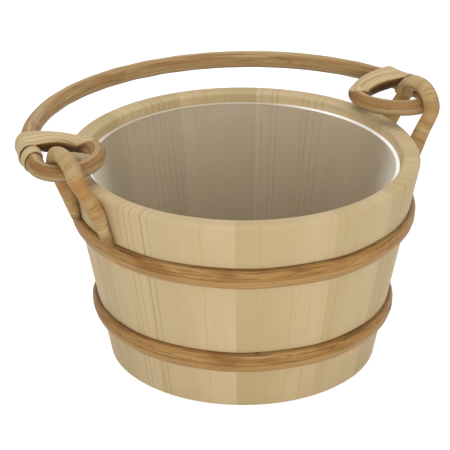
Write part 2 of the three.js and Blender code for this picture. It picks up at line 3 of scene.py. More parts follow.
import bmesh
import bpy
import numpy as np
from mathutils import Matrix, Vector


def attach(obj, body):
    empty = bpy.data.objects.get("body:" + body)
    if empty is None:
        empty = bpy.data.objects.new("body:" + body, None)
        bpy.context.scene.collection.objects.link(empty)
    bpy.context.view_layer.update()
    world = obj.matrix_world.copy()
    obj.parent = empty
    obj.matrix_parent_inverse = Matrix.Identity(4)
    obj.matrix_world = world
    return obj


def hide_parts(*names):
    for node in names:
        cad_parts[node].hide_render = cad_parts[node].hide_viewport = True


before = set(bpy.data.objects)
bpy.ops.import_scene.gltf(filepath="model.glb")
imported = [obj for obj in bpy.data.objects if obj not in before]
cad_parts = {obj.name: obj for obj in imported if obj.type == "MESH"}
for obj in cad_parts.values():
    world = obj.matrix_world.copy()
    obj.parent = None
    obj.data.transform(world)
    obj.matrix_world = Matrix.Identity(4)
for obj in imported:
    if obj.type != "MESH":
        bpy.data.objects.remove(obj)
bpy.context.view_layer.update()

# Staves
# Twelve tapered boards of planed pine, hollowed inside, rounded over at the rim and grooved
# near their lower ends for the base. They stand edge to edge, and the hoops hold them together.
MM = 0.001  # the pieces' sizes are in millimetres, with heights from the floor
BUCKET_HEIGHT = 156.8
RIM_RADIUS = 130
WALL_SLOPE = 0.1982
WALL_THICKNESS = 13.5
RIM_ROUNDING = 3.4
CHIME_BEVEL = 1.5
BASE_LIFT = 8
CROZE_LOWER = 12
CROZE_UPPER = 20.3
CROZE_DEPTH = 4
STAVE_SHARES = [28, 30, 30, 30, 30, 30, 33, 33, 24, 31, 31, 31]
FIRST_STAVE_ANGLE = math.radians(31)
STAVE_JOINT = 0.02
STAVE_STEPS = 18
STAVE_EDGE = 0.06
STAVE_EDGE_STEPS = 2
EASED_ANGLE = math.radians(40)
WELD = 0.001
GRAIN_RADIUS = 115
SWEEP_RADIUS = 100


def wall_radius(height):
    return RIM_RADIUS - WALL_SLOPE * (BUCKET_HEIGHT - height)


def bore_radius(height):
    return wall_radius(height) - WALL_THICKNESS


def in_frame(points):
    """Millimetres above the floor to metres in the frame, whose origin is the base's underside."""
    return (np.asarray(points, float) - (0, 0, BASE_LIFT)) * MM


def arc(centre_radius, centre_height, size, start, sweep=90, steps=8):
    angles = np.radians(np.linspace(start, start + sweep, steps + 1))
    return [(centre_radius + size * math.cos(a), centre_height + size * math.sin(a)) for a in angles]


def stave_profile():
    shoulder = BUCKET_HEIGHT - RIM_ROUNDING
    return [
        (bore_radius(0) + CHIME_BEVEL, 0),
        (wall_radius(0) - CHIME_BEVEL, 0),
        (wall_radius(CHIME_BEVEL), CHIME_BEVEL),
        (wall_radius(BUCKET_HEIGHT / 2), BUCKET_HEIGHT / 2),
        *arc(wall_radius(shoulder) - RIM_ROUNDING, shoulder, RIM_ROUNDING, 0),
        *arc(bore_radius(shoulder) + RIM_ROUNDING, shoulder, RIM_ROUNDING, 90),
        (bore_radius(CROZE_UPPER), CROZE_UPPER),
        (bore_radius(CROZE_UPPER) + CROZE_DEPTH, CROZE_UPPER),
        (bore_radius(CROZE_LOWER) + CROZE_DEPTH, CROZE_LOWER),
        (bore_radius(CROZE_LOWER), CROZE_LOWER),
        (bore_radius(CHIME_BEVEL), CHIME_BEVEL),
    ]


def srgb(red, green, blue):
    """A colour as it looks, 0 to 255, as the linear colour that a socket takes."""
    shares = [c / 255 for c in (red, green, blue)]
    return (*[((s + 0.055) / 1.055) ** 2.4 if s > 0.04045 else s / 12.92 for s in shares], 1)


class Wire:
    """A socket in a shader tree. Arithmetic on it adds Math nodes to that tree."""

    def __init__(self, socket):
        self.socket = socket

    def node(self, kind, settings, inputs, output=None):
        """Adds a node with its settings and inputs, and gives its first output or the named one."""
        tree = self.socket.id_data
        made = tree.nodes.new(kind)
        for name, value in settings.items():
            setattr(made, name, value)
        sockets = {socket.identifier: socket for socket in made.inputs}
        for name, value in inputs.items():
            if isinstance(value, Wire):
                tree.links.new(value.socket, sockets[name])
            else:
                sockets[name].default_value = value
        results = {socket.identifier: socket for socket in made.outputs}
        return Wire(results[output] if output else made.outputs[0])

    def math(self, operation, first, second=0.0):
        return self.node("ShaderNodeMath", {"operation": operation}, {"Value": first, "Value_001": second})

    def vector(self, operation, **inputs):
        return self.node("ShaderNodeVectorMath", {"operation": operation}, {"Vector": self, **inputs})

    def __add__(self, other):
        return self.math("ADD", self, other)

    __radd__ = __add__

    def __sub__(self, other):
        return self.math("SUBTRACT", self, other)

    def __mul__(self, other):
        return self.math("MULTIPLY", self, other)

    __rmul__ = __mul__

    def __truediv__(self, other):
        return self.math("DIVIDE", self, other)

    def __pow__(self, other):
        return self.math("POWER", self, other)

    def __abs__(self):
        return self.math("ABSOLUTE", self)

    def __or__(self, other):
        """The larger of two."""
        return self.math("MAXIMUM", self, other)

    def floor(self):
        return self.math("FLOOR", self)

    def ramp(self, low, high):
        """0 at low to 1 at high, eased at both ends. Low may be the larger."""
        return self.node(
            "ShaderNodeMapRange",
            {"interpolation_type": "SMOOTHSTEP"},
            {"Value": self, "From Min": low, "From Max": high},
        )

    def noise(self, stretch, detail=2.0, roughness=0.5, distortion=0.0):
        """Noise on a place vector, with so many features a millimetre along each axis."""
        inputs = {
            "Vector": self.vector("MULTIPLY", Vector_001=stretch),
            "Scale": 1,
            "Detail": detail,
            "Roughness": roughness,
            "Distortion": distortion,
        }
        return self.node("ShaderNodeTexNoise", {"noise_dimensions": "3D"}, inputs, "Fac")

    def between(self, below, above):
        """A colour mixed by this factor."""
        return self.node(
            "ShaderNodeMix",
            {"data_type": "RGBA"},
            {"Factor_Float": self, "A_Color": below, "B_Color": above},
            "Result_Color",
        )

    def part(self, axis):
        return self.node("ShaderNodeSeparateXYZ", {}, {"Vector": self}, axis)

    def moved(self, seed, steps):
        """A place vector moved by a seed, so that each piece takes its own stretch of the noise."""
        return self.vector("ADD", Vector_001=[seed * step for step in steps])


def new_finish(name, attribute=None):
    """A material with its Principled shader, and the place on the piece in millimetres."""
    material = bpy.data.materials.new(name)
    material.use_nodes = True
    shader = material.node_tree.nodes["Principled BSDF"]
    base = Wire(shader.outputs[0])
    if attribute:
        place = base.node("ShaderNodeAttribute", {"attribute_name": attribute}, {}, "Vector")
    else:
        place = base.node("ShaderNodeTexCoord", {}, {}, "Object").vector("SCALE", Scale=1 / MM)
    return material, shader, place


def connect(shader, wires):
    for name, wire in wires.items():
        shader.id_data.links.new(wire.socket, shader.inputs[name])


def finish(shader, colour, roughness, relief, depth):
    """Joins what varies over the surface to a Principled shader. Depth is in millimetres."""
    bump = relief.node("ShaderNodeBump", {}, {"Height": relief, "Distance": depth * MM, "Strength": 1.0})
    connect(shader, {"Base Color": colour, "Roughness": roughness, "Normal": bump})


PINE_PALE = srgb(214, 191, 150)
PINE_WARM = srgb(209, 184, 142)
PINE_OLIVE = srgb(192, 170, 122)
PINE_LINE = srgb(164, 132, 84)
PINE_STREAK = srgb(200, 163, 92)
PINE_STEPS = (173, 91, 57)
PINE_GLOSS = 0.35
TONE_HALF = 34
LINE_HALF = 0.8
LINE_CORE = 0.08
LINE_BEND = 2.2
STREAK_HALF = 1.2
STREAK_SWING = 9
ARCH_HALF = 0.9
ARCH_BEND = 6
MARK_CORE = 0.1


def pine(name, seed, olive, lines, spacing, arches):
    """Planed pine with its grain along Z: dark lines at their places across, wavy streaks and arches."""
    material, shader, place = new_finish(name, "grain")
    across = place.part("Y")
    along = place.part("Z")
    own = place.moved(seed, PINE_STEPS)
    wander = own.noise((0.0, 0.012, 0.011), 1.0) - 0.5
    bands = own.noise((0.05, 0.05, 0.004), 1.0).ramp(0.3, 0.7)
    fibres = own.noise((0.3, 0.9, 0.012), 3.0, 0.6)
    colour = bands.between(PINE_WARM, PINE_PALE)
    clouds = own.noise((0.01, 0.02, 0.004), 1.0).ramp(0.3, 0.7)
    tone = clouds * 0.2 + across.ramp(TONE_HALF, -TONE_HALF) * olive * 0.8
    colour = tone.between(colour, PINE_OLIVE)
    colour = (fibres.ramp(0.6, 0.36) * 0.06).between(colour, PINE_LINE)
    bent = across + wander * LINE_BEND
    broken = own.noise((0.0, 0.5, 0.008), 1.0).ramp(0.25, 0.55)
    for middle, strength in lines:
        mark = abs(bent - middle).ramp(LINE_HALF, LINE_CORE) * broken
        colour = (mark * strength).between(colour, PINE_LINE)
    swung = across + (own.noise((0.0, 0.02, 0.02), 2.0) - 0.5) * STREAK_SWING
    cell = (swung / spacing).floor()
    drawn = {"W": cell + seed * 3.0}
    chance = cell.node("ShaderNodeTexWhiteNoise", {"noise_dimensions": "1D"}, drawn, "Value")
    offset = abs(swung / spacing - cell - 0.3 - chance * 0.4) * spacing
    kept = own.noise((0.0, 0.09, 0.013), 1.0).ramp(0.42, 0.52)
    streaks = offset.ramp(STREAK_HALF, MARK_CORE) * kept * chance.ramp(0.1, 0.5)
    colour = (streaks * 0.55).between(colour, PINE_STREAK)
    for middle, height, half_width, rise in arches:
        sideways = abs(across - middle + wander * ARCH_BEND)
        bend = rise / half_width**2
        away = abs(along - height - sideways * sideways * bend)
        steep = (sideways * sideways * (2 * bend) ** 2 + 1.0) ** 0.5
        within = sideways.ramp(half_width * 1.3, half_width * 0.6)
        mark = (away / steep).ramp(ARCH_HALF, MARK_CORE) * within
        colour = (mark * kept * 0.5).between(colour, PINE_STREAK)
    finish(shader, colour, fibres * 0.16 + 0.5, fibres, 0.02)
    shader.inputs["Specular IOR Level"].default_value = PINE_GLOSS
    return material


def stave_tree():
    """Sweeps the piece's own outline round the bucket's axis, closes its ends and sets its wood."""
    tree = bpy.data.node_groups.new("coopered_stave", "GeometryNodeTree")
    face = tree.interface
    face.new_socket("Geometry", in_out="OUTPUT", socket_type="NodeSocketGeometry")
    face.new_socket("Outline", in_out="INPUT", socket_type="NodeSocketGeometry")
    sockets = {}
    for name, kind in [
        ("From", "NodeSocketFloat"),
        ("Sweep", "NodeSocketFloat"),
        ("Steps", "NodeSocketInt"),
        ("Wood", "NodeSocketMaterial"),
    ]:
        sockets[name] = face.new_socket(name, in_out="INPUT", socket_type=kind).identifier
    made = {}
    for label, kind in [
        ("given", "NodeGroupInput"),
        ("outline", "GeometryNodeMeshToCurve"),
        ("path", "GeometryNodeCurveArc"),
        ("sweep", "GeometryNodeCurveToMesh"),
        ("realize", "GeometryNodeRealizeInstances"),
        ("wood", "GeometryNodeSetMaterial"),
        ("result", "NodeGroupOutput"),
    ]:
        made[label] = tree.nodes.new(kind)
    made["path"].inputs["Radius"].default_value = SWEEP_RADIUS * MM
    made["sweep"].inputs["Fill Caps"].default_value = True
    for source, output, target, socket in [
        ("given", "Outline", "outline", "Mesh"),
        ("given", "From", "path", "Start Angle"),
        ("given", "Sweep", "path", "Sweep Angle"),
        ("given", "Steps", "path", "Resolution"),
        ("path", "Curve", "sweep", "Curve"),
        ("outline", "Curve", "sweep", "Profile Curve"),
        ("sweep", "Mesh", "realize", "Geometry"),
        ("realize", "Geometry", "wood", "Geometry"),
        ("given", "Wood", "wood", "Material"),
        ("wood", "Geometry", "result", "Geometry"),
    ]:
        tree.links.new(made[source].outputs[output], made[target].inputs[socket])
    return tree, sockets


def new_piece(name, data):
    piece = bpy.data.objects.new(name, data)
    bpy.context.scene.collection.objects.link(piece)
    return piece


def made_plain(piece):
    """Turns a piece and its modifiers into a plain mesh."""
    bpy.context.view_layer.update()
    depsgraph = bpy.context.evaluated_depsgraph_get()
    evaluated = piece.evaluated_get(depsgraph)
    mesh = bpy.data.meshes.new_from_object(evaluated, preserve_all_data_layers=True, depsgraph=depsgraph)
    piece.modifiers.clear()
    piece.data = mesh


def faces_out(mesh, welded):
    """Turns all faces outwards. With welded, points that lie on one another are joined first."""
    body = bmesh.new()
    body.from_mesh(mesh)
    if welded:
        bmesh.ops.remove_doubles(body, verts=body.verts, dist=WELD * MM)
    bmesh.ops.recalc_face_normals(body, faces=body.faces)
    body.to_mesh(mesh)
    body.free()


def round_axis(mesh, middle):
    """The points of a stave, with their distance from the axis and their turn from its middle."""
    points = np.empty(len(mesh.vertices) * 3, np.float32)
    mesh.vertices.foreach_get("co", points)
    points = points.reshape(-1, 3)
    turn = np.arctan2(points[:, 1], points[:, 0]) - middle
    return points, np.hypot(points[:, 0], points[:, 1]), (turn + math.pi) % (2 * math.pi) - math.pi


def true_ends(mesh, middle, half):
    """Brings the ends of a swept stave onto its joints, which lie on planes through the axis."""
    points, radius, turn = round_axis(mesh, middle)
    at_end = np.abs(turn) > half * (1 - 1 / STAVE_STEPS)
    turn = middle + np.where(at_end, np.sign(turn) * half, turn)
    points[:, 0] = radius * np.cos(turn)
    points[:, 1] = radius * np.sin(turn)
    mesh.vertices.foreach_set("co", points.ravel())


def note(mesh, name, places):
    """Keeps a place for each point of a mesh, for its material to read by name."""
    kept = mesh.attributes.new(name, "FLOAT_VECTOR", "POINT")
    kept.data.foreach_set("vector", places.astype(np.float32).ravel())


def note_grain(mesh, middle):
    """Where each point lies on its board: from the axis, across the board and up in the frame."""
    points, radius, turn = round_axis(mesh, middle)
    note(mesh, "grain", np.column_stack([radius / MM, turn * GRAIN_RADIUS, points[:, 2] / MM]))


# By stave: how olive its wood is, the angles of its dark lines round the bucket, and its arches,
# each with its place across, its height in the frame, its half width and its rise.
STAVE_OLIVE = [0.4, 0.9, 0.7, 0.9, 0.6, 0.5, 0.2, 0.9, 0.7, 0.8, 0.6, 0.5]
STAVE_LINES = {
    1: [32, 35, 38, 50.5, 52.5, 55, 56.5],
    3: [91, 93.5, 96, 98, 101, 104, 115.5, 117.6],
    6: [182.5, 187, 190, 201, 203.5, 206],
    7: [210, 212.5],
    10: [301.5, 306, 311.5, 325.5],
    11: [332, 336, 350, 353, 356.5],
}
STAVE_ARCHES = {
    7: [(-14, 74, 8, 9), (2, 60, 5, 22), (3, 106, 4, -16)],
    8: [(11, 69, 4, 12), (-19, 17, 8, -12), (13, 104, 3, -18)],
    9: [(-17, 88, 6, -12), (-14, 9, 5, 12)],
    2: [(6, 96, 6, -14), (-9, 40, 5, 16)],
    4: [(-8, 55, 5, 12)],
    12: [(10, 46, 6, -12)],
}
LINE_DRAW = np.random.default_rng(3)
LINE_STRENGTH = (0.4, 0.75)
LINED_SPACING = 26
PLAIN_SPACING = 12

outline = [((r - SWEEP_RADIUS) * MM, -(h - BASE_LIFT) * MM, 0) for r, h in stave_profile()]
outline_edges = [(i, (i + 1) % len(outline)) for i in range(len(outline))]
tree, tree_inputs = stave_tree()
start = FIRST_STAVE_ANGLE
inset = STAVE_JOINT / 2 / RIM_RADIUS
for index, share in enumerate(STAVE_SHARES, 1):
    sweep = share / sum(STAVE_SHARES) * 2 * math.pi
    middle = start + sweep / 2
    lines = [
        ((math.radians(angle) - middle) * GRAIN_RADIUS, LINE_DRAW.uniform(*LINE_STRENGTH))
        for angle in STAVE_LINES.get(index, ())
    ]
    wood = pine(
        f"stave_pine_{index:02d}",
        index,
        STAVE_OLIVE[index - 1],
        lines,
        LINED_SPACING if lines else PLAIN_SPACING,
        STAVE_ARCHES.get(index, ()),
    )
    mesh = bpy.data.meshes.new(f"pine_stave_{index:02d}")
    mesh.from_pydata(outline, outline_edges, [])
    stave = new_piece(f"pine_stave_{index:02d}", mesh)
    sweeper = stave.modifiers.new("sweep", "NODES")
    sweeper.node_group = tree
    sweeper[tree_inputs["From"]] = start + inset
    sweeper[tree_inputs["Sweep"]] = sweep - 2 * inset
    sweeper[tree_inputs["Steps"]] = STAVE_STEPS
    sweeper[tree_inputs["Wood"]] = wood
    made_plain(stave)
    true_ends(stave.data, middle, sweep / 2 - inset)
    faces_out(stave.data, welded=True)
    bevel = stave.modifiers.new("eased edges", "BEVEL")
    bevel.width = STAVE_EDGE * MM
    bevel.segments = STAVE_EDGE_STEPS
    bevel.limit_method = "ANGLE"
    bevel.angle_limit = EASED_ANGLE
    stave.data.shade_smooth()
    stave.modifiers.new("even shading", "WEIGHTED_NORMAL").keep_sharp = True
    made_plain(stave)
    note_grain(stave.data, middle)
    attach(stave, "bucket")
    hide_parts(f"stave_{index:02d}")
    start += sweep

# Base boards
# Three pine boards, tongued and grooved, turned to a disc with a stepped edge that sits in the
# staves' groove. The CAD solids have their shape, so they only get the wood.
BASE_SEED = 20
BASE_RING = 7


def refinish(node, material):
    node.data.materials.clear()
    node.data.materials.append(material)


for seed, side in enumerate(["left", "middle", "right"], BASE_SEED):
    material, shader, place = new_finish(f"base_pine_{side}")
    own = place.moved(seed, PINE_STEPS)
    bands = own.noise((0.06, 0.004, 0.05), 2.0, 0.55).ramp(0.36, 0.64)
    fibres = own.noise((0.75, 0.012, 0.3), 3.0, 0.6)
    growth = own.part("X") / BASE_RING + own.noise((0.02, 0.006, 0.02), 2.0) * 5.0
    rings = growth - growth.floor()
    colour = bands.between(PINE_WARM, PINE_PALE)
    colour = (rings.ramp(0.7, 0.98) * 0.3).between(colour, PINE_LINE)
    colour = (fibres.ramp(0.62, 0.35) * 0.16).between(colour, PINE_LINE)
    finish(shader, colour, fibres * 0.16 + 0.52, fibres, 0.05)
    refinish(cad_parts[f"base_board_{side}"], material)

# Hoops
# Two strips of split rattan with their brown skin outside, bent round the staves. Their ends
# overlap in a long scarf joint at the back, and the taper of the wall keeps them up.
UPPER_HOOP_HEIGHT = 114.1
HOOPS = [("upper_hoop", UPPER_HOOP_HEIGHT, 76), ("lower_hoop", 40.8, 45)]  # name, height, scarf's angle
HOOP_WIDTH = 17
HOOP_THICKNESS = 5.15
HOOP_SEAT = 0.06
HOOP_STATIONS = 420
HOOP_SIDES = 22
HOOP_SWELL = 0.025
HOOP_STRAY = 0.35
HOOP_LUMP = 0.03
HOOP_WAVES = (190, 260, 60)
HOOP_RIDGE = 0.05
HOOP_LEAST = 0.02
SCARF_LENGTH = 56
SCARF_STATIONS = 48
SCARF_TIP = 0.9
SCARF_GAP = 0.12
WALL_TILT = math.atan(WALL_SLOPE)
WAVES = 5
WAVE_HEIGHT = 1.4
ROD_SHARP = math.radians(55)


def off_wall(height, along, out):
    """Radius and height of places that stand off the outer wall and lie along it from a height."""
    radius = wall_radius(height) + along * math.sin(WALL_TILT) + out * math.cos(WALL_TILT)
    return radius, height + along * math.cos(WALL_TILT) - out * math.sin(WALL_TILT)


def lerp(a, b, share):
    return a + (b - a) * share


def waver(seed, slowest):
    """A smooth irregular function between about -1 and 1, with waves up to so many millimetres long."""
    draw = np.random.default_rng(seed)
    phases = draw.uniform(0, 2 * math.pi, WAVES)
    lengths = slowest / draw.uniform(1, 4, WAVES)
    scale = WAVE_HEIGHT / WAVES
    return lambda u: scale * sum(np.sin(u * 2 * math.pi / w + p) for w, p in zip(lengths, phases))


def skin(name, rings, fibre, material):
    """A closed mesh through rings of the same number of points, with where its fibres lie."""
    count, sides = rings.shape[:2]
    corner = np.arange(sides)
    following = (corner + 1) % sides
    faces = []
    for ring in range(count - 1):
        near, far = ring * sides, (ring + 1) * sides
        faces += np.column_stack([near + corner, near + following, far + following, far + corner]).tolist()
    faces.append(corner[::-1].tolist())
    faces.append(((count - 1) * sides + corner).tolist())
    mesh = bpy.data.meshes.new(name)
    mesh.from_pydata(in_frame(rings.reshape(-1, 3)).tolist(), [], faces)
    note(mesh, "fibre", fibre)
    faces_out(mesh, welded=False)
    mesh.shade_smooth()
    mesh.set_sharp_from_angle(angle=ROD_SHARP)
    mesh.materials.append(material)
    return new_piece(name, mesh)


RATTAN_MID = srgb(180, 134, 74)
RATTAN_PALE = srgb(188, 151, 96)
RATTAN_DARK = srgb(98, 64, 31)
RATTAN_WARM = srgb(142, 97, 46)
RATTAN_SPECK_AND_SHADE = srgb(70, 46, 24)
RATTAN_STEPS = (137, 71, 0)
RATTAN_GLOSS = 0.2


def rattan_colour(place, seed, ground, light):
    """Brown rattan skin: streaks along the fibres, warm patches, thin dark lines and short dark marks.
    Gives the piece's own place, the colour, the streaks, the fine grain and the relief."""
    own = place.moved(seed, RATTAN_STEPS)
    streaks = own.noise((0.014, 0.42, 0.0), 3.0, 0.6, 0.3)
    fine = own.noise((0.03, 1.5, 0.0), 2.0, 0.6)
    patches = own.noise((0.02, 0.09, 0.0), 2.0, 0.55, 0.4)
    colour = streaks.ramp(0.45, 0.65).between(ground, light)
    colour = (patches.ramp(0.5, 0.66) * 0.7).between(colour, RATTAN_WARM)
    colour = (streaks.ramp(0.42, 0.3) * 0.7).between(colour, RATTAN_DARK)
    threads = own.noise((0.02, 0.8, 0.0), 2.0, 0.6).ramp(0.4, 0.32)
    colour = (threads * 0.75).between(colour, RATTAN_DARK)
    colour = (fine.ramp(0.55, 0.35) * 0.25).between(colour, RATTAN_DARK)
    specks = own.noise((0.09, 0.75, 0.0), 1.0).ramp(0.29, 0.23)
    colour = (specks * 0.8).between(colour, RATTAN_SPECK_AND_SHADE)
    return own, colour, streaks, fine, streaks * 0.6 + fine * 0.4 - specks * 0.5


def hoop_rattan(name, seed):
    """Split rattan with a painted sheen as a pale band below its middle, a dark line above that, and dark
    edges, partly the skin's cut edges and partly painted shade.
    """
    material, shader, place = new_finish(name, "fibre")
    own, colour, streaks, fine, relief = rattan_colour(place, seed, RATTAN_MID, RATTAN_PALE)
    share = place.part("Z")
    wave = own.noise((0.01, 0.05, 0.0), 2.0) - 0.5
    smudges = own.noise((0.06, 1.1, 0.0), 3.0, 0.7, 0.4).ramp(0.55, 0.61)
    smudges = smudges * (share + wave).ramp(-0.2, 0.15)
    colour = (smudges * 0.5).between(colour, RATTAN_DARK)
    # Painted sheen: a pale band below the middle stands in for the soft highlight there.
    painted_sheen_band = abs(share + 0.36 + wave * 0.5).ramp(0.46, 0.2) * (0.3 + fine * 0.4)
    colour = painted_sheen_band.between(colour, RATTAN_PALE)
    edge_line = abs(share - 0.02 + wave * 0.5).ramp(0.06, 0.02)
    colour = (edge_line * 0.45).between(colour, RATTAN_DARK)
    # Darker edges, more at the bottom: partly the skin's cut edges, partly painted shade where the strip
    # meets the wall.
    colour = (share.ramp(-0.78, -0.97) * 0.8).between(colour, RATTAN_DARK)
    colour = (share.ramp(0.82, 0.99) * 0.6).between(colour, RATTAN_DARK)
    finish(shader, colour, 0.42 + streaks * 0.2, relief, 0.2)
    shader.inputs["Specular IOR Level"].default_value = RATTAN_GLOSS
    return material


def hoop_rings(height, scarf_angle, seed):
    """Rings of a half-oval strip, inner end first. Its ends thin so that the joint keeps its outline."""
    reach = wall_radius(height)
    scarf_turn = SCARF_LENGTH / reach
    begin = math.radians(scarf_angle) - scarf_turn / 2
    tip = SCARF_TIP / HOOP_THICKNESS
    last = 1 - (SCARF_TIP + SCARF_GAP) / (HOOP_THICKNESS - SCARF_TIP)
    inner = [(begin + t * scarf_turn, lerp(tip, 1, t), 0.0) for t in np.linspace(0, 1, SCARF_STATIONS)]
    middle_turns = np.linspace(begin + scarf_turn, begin + 2 * math.pi, HOOP_STATIONS)[1:-1]
    outer = [
        (begin + 2 * math.pi + t * scarf_turn, 1.0, lerp(tip, 1, t) + SCARF_GAP / HOOP_THICKNESS)
        for t in np.linspace(0.0, last, SCARF_STATIONS)
    ]
    stations = [*inner, *[(turn, 1.0, 0.0) for turn in middle_turns], *outer]
    swell, stray, lump = [waver(seed + i, slowest) for i, slowest in enumerate(HOOP_WAVES)]
    rings, fibres = [], []
    spread = np.sin(np.linspace(-math.pi / 2, math.pi / 2, HOOP_SIDES))
    share = np.concatenate([spread, spread[-2:0:-1]])
    for turn, crown_share, back_share in stations:
        length = turn * reach
        half = HOOP_WIDTH / 2 * (1 + HOOP_SWELL * swell(length))
        oval = HOOP_THICKNESS * np.sqrt(np.maximum(0, 1 - spread**2)) * (1 + HOOP_LUMP * lump(length))
        ridges = HOOP_RIDGE * np.sin(spread * 9 + 3 * lump(length)) * (oval > 1)
        front = HOOP_SEAT + crown_share * oval + ridges
        back = HOOP_SEAT + np.minimum(back_share * oval, front - HOOP_LEAST)
        out = np.concatenate([front, back[-2:0:-1]])
        radius, level = off_wall(height, share * half + HOOP_STRAY * stray(length), out)
        rings.append(np.column_stack([radius * math.cos(turn), radius * math.sin(turn), level]))
        fibres.append(np.column_stack([np.full(len(share), length), share * half, share]))
    return np.array(rings), np.array(fibres)


for seed, (name, height, scarf_angle) in enumerate(HOOPS, 1):
    rings, fibres = hoop_rings(height, scarf_angle, seed * 10)
    strip = skin("rattan_" + name, rings, fibres, hoop_rattan(name + "_rattan", seed))
    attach(strip, "bucket")
    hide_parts(name)

# Ears
# Two thick rods of peeled rattan, steamed and bent to an upturned U. Their flattened legs lie on
# the staves above the upper hoop, screwed on from inside, and their bights hold the bail's eyes.
EAR_STATIONS = 260
EAR_SIDES = 36
CURVE_STEPS = 60
ROUND = 2.0
EAR_FOOT_HALF = 4.6
EAR_FOOT_DEPTH = 3.4
EAR_KINK_HALF = 7.3
EAR_KINK_DEPTH = 5.8
EAR_INNER_HALF = 3.8
EAR_OUTER_HALF = 7.6
EAR_BIGHT_DEPTH = 5.3
EAR_FOOT_SPREAD = 26
EAR_KINK_SPREAD = 22.5
EAR_KINK_HEIGHT = 145.8
EAR_SHOULDER_SPREAD = 18.5
EAR_CROWN_HEIGHT = 182.4
EAR_BIGHT_LEAN = 0.04
EAR_HAUNCH = math.radians(45)
EAR_SEAT = 0.25
EAR_SHIFT = 1.0
EAR_FRONT_EASE = (-10, 12)
EAR_SWELL_EASE = (-4, 5)
EAR_SHIFT_EASE = (-5, 8)
EAR_LUMP = 0.018
EAR_LUMP_LENGTH = 45
EAR_HOOP_GAP = 0.3
EAR_AROUND = 6.5
EAR_INSIDE = 1.5 * math.pi * EAR_AROUND
EAR_INSIDE_HALF = 5.5
BAIL_HEIGHT = 170
EAR_FOOT_HEIGHT = off_wall(UPPER_HOOP_HEIGHT, HOOP_WIDTH / 2 + EAR_HOOP_GAP, 0)[1]


def smooth(value, low, high):
    """0 at low to 1 at high, eased at both ends."""
    share = np.clip((value - low) / (high - low), 0, 1)
    return share * share * (3 - 2 * share)


def unit(vectors):
    return vectors / np.linalg.norm(vectors, axis=-1, keepdims=True)


def tangents(points):
    return unit(np.gradient(points, axis=0))


def lengths_along(points):
    return np.concatenate([[0], np.cumsum(np.linalg.norm(np.diff(points, axis=0), axis=1))])


def blend(t, a, b, begin, end):
    return (end - t) / (end - begin) * a + (t - begin) / (end - begin) * b


def through(points, steps):
    """A centripetal Catmull-Rom curve through points, at places evenly spaced along it."""
    points = np.asarray(points, float)
    ends = [2 * points[0] - points[1], *points, 2 * points[-1] - points[-2]]
    dense = []
    for p0, p1, p2, p3 in zip(ends, ends[1:], ends[2:], ends[3:]):
        t0, t1, t2, t3 = np.cumsum([0, *[np.linalg.norm(d) ** 0.5 for d in (p1 - p0, p2 - p1, p3 - p2)]])
        t = np.linspace(t1, t2, CURVE_STEPS, endpoint=False)[:, None]
        a1 = blend(t, p0, p1, t0, t1)
        a2 = blend(t, p1, p2, t1, t2)
        a3 = blend(t, p2, p3, t2, t3)
        b1 = blend(t, a1, a2, t0, t2)
        b2 = blend(t, a2, a3, t1, t3)
        dense.append(blend(t, b1, b2, t1, t2))
    dense = np.vstack([*dense, points[-1:]])
    lengths = lengths_along(dense)
    places = np.linspace(0, lengths[-1], steps)
    return np.column_stack([np.interp(places, lengths, dense[:, axis]) for axis in range(3)]), places


def rod_rings(centres, normals, side, out, inner, squareness, sides):
    """Rings across a path: super-ellipses with their own half sizes sideways, out and in."""
    along = tangents(centres)
    across = unit(np.cross(along, normals))
    up = unit(np.cross(across, along))
    angles = 2 * math.pi * (np.arange(sides) + 0.5) / sides
    power = (2 / squareness)[:, None]
    x = np.sign(np.cos(angles)) * np.abs(np.cos(angles)) ** power
    y = np.sign(np.sin(angles)) * np.abs(np.sin(angles)) ** power
    rise = np.where(y > 0, out[:, None] * y, inner[:, None] * y)
    sideways = side[:, None] * x
    off_centre = across[:, None] * sideways[..., None] + up[:, None] * rise[..., None]
    return centres[:, None] + off_centre, angles


def leg_share(height):
    return np.clip((height - EAR_FOOT_HEIGHT) / (EAR_KINK_HEIGHT - EAR_FOOT_HEIGHT), 0, 1)


def leg_depth(height):
    return lerp(EAR_FOOT_DEPTH, EAR_KINK_DEPTH, leg_share(height))


def leg_point(height):
    spread = lerp(EAR_FOOT_SPREAD, EAR_KINK_SPREAD, leg_share(height))
    radius = wall_radius(height) + (leg_depth(height) + EAR_SEAT) / math.cos(WALL_TILT)
    return np.array([math.sqrt(radius**2 - spread**2), spread, height])


def about_axis(points, turn):
    """Points or directions turned about the bucket's axis, forward on the right."""
    c, s = math.cos(turn), math.sin(turn)
    return np.asarray(points) @ np.array([[c, -s, 0], [s, c, 0], [0, 0, 1]])


def ear_path(turn, lean):
    """From the front foot up the wall, out over the bail's eye, and down to the back foot."""
    kink = leg_point(EAR_KINK_HEIGHT)

    def leaning(spread, height):
        leg_out = lean * (min(height, BAIL_HEIGHT) - EAR_KINK_HEIGHT)
        bight_out = EAR_BIGHT_LEAN * max(height - BAIL_HEIGHT, 0)
        return np.array([kink[0] + leg_out + bight_out, spread, height])

    rise = EAR_CROWN_HEIGHT - BAIL_HEIGHT
    half = [
        leg_point(EAR_FOOT_HEIGHT),
        leg_point((EAR_FOOT_HEIGHT + EAR_KINK_HEIGHT) / 2),
        kink,
        leaning((EAR_KINK_SPREAD + EAR_SHOULDER_SPREAD) / 2, (EAR_KINK_HEIGHT + BAIL_HEIGHT) / 2),
        leaning(EAR_SHOULDER_SPREAD, BAIL_HEIGHT),
        leaning(EAR_SHOULDER_SPREAD * math.cos(EAR_HAUNCH), BAIL_HEIGHT + rise * math.sin(EAR_HAUNCH)),
    ]
    front = [point * (1, -1, 1) for point in half]
    return through(about_axis([*front, leaning(0, EAR_CROWN_HEIGHT), *half[::-1]], turn), EAR_STATIONS)


